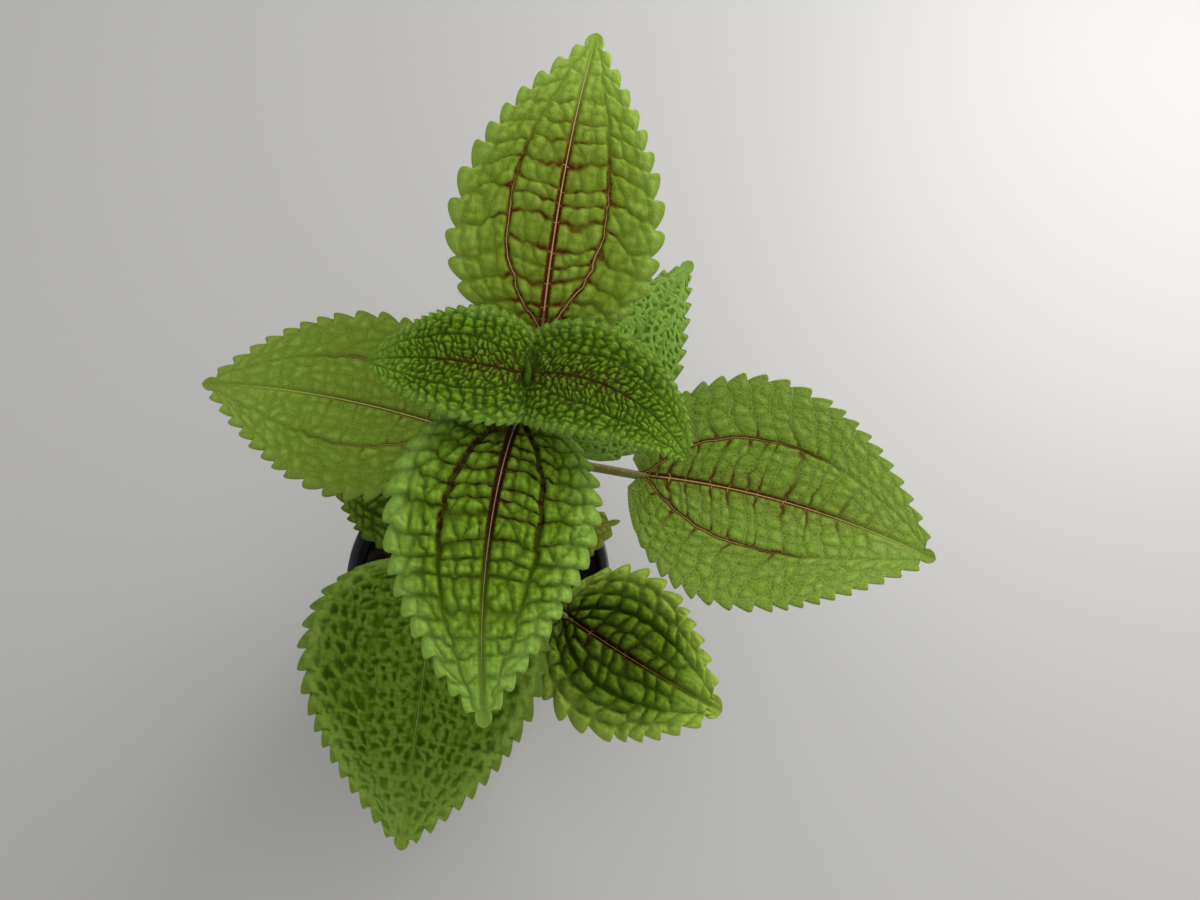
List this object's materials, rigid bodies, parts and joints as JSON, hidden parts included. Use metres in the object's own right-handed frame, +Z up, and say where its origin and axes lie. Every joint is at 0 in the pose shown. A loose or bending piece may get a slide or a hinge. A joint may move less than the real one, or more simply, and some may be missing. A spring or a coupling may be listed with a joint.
{
  "type": "potted pilea",
  "caption": "Young quilted-leaf pilea in a small round black nursery pot, toothed and puckered leaves in crossed pairs on one leaning stem.",
  "frame": {"origin": "centre of the pot's flat underside", "axes": "+Z up along the pot's axis, +X to the right and +Y to the back as the picture shows it, so the stem leans towards +Y and +X"},
  "size_m": [0.207, 0.2148, 0.1941],
  "materials": {
    "pot": "black moulded plastic, satin",
    "soil": "dark peaty compost with pale granules",
    "stem": "fleshy green stem with a reddish tinge and short hairs",
    "bud": "soft pale green, hairy",
    "leaf_a": "saturated green, finely pebbled, brown-purple at the base",
    "leaf_b": "bright yellow-green, deeply quilted, red-brown veins",
    "leaf_c": "light yellow-green, shallow quilting, pale net, tan midrib",
    "leaf_d": "dark green with a lighter raised net",
    "leaf_e": "dark green, deeply quilted, brown-red veins",
    "leaf_f": "brownish olive, young"
  },
  "bodies": {
    "root": {"pot": "pot", "soil": "soil", "stem": "stem", "bud_tip": "bud", "leaf_a_left": "leaf_a", "leaf_a_right": "leaf_a", "leaf_b_back": "leaf_b", "leaf_b_front": "leaf_b", "leaf_c_left": "leaf_c", "leaf_c_right": "leaf_c", "leaf_d_front": "leaf_d", "leaf_d_back": "leaf_d", "leaf_e_right": "leaf_e", "leaf_e_left": "leaf_e", "leaf_f_side": "leaf_f"}
  },
  "joints": []
}
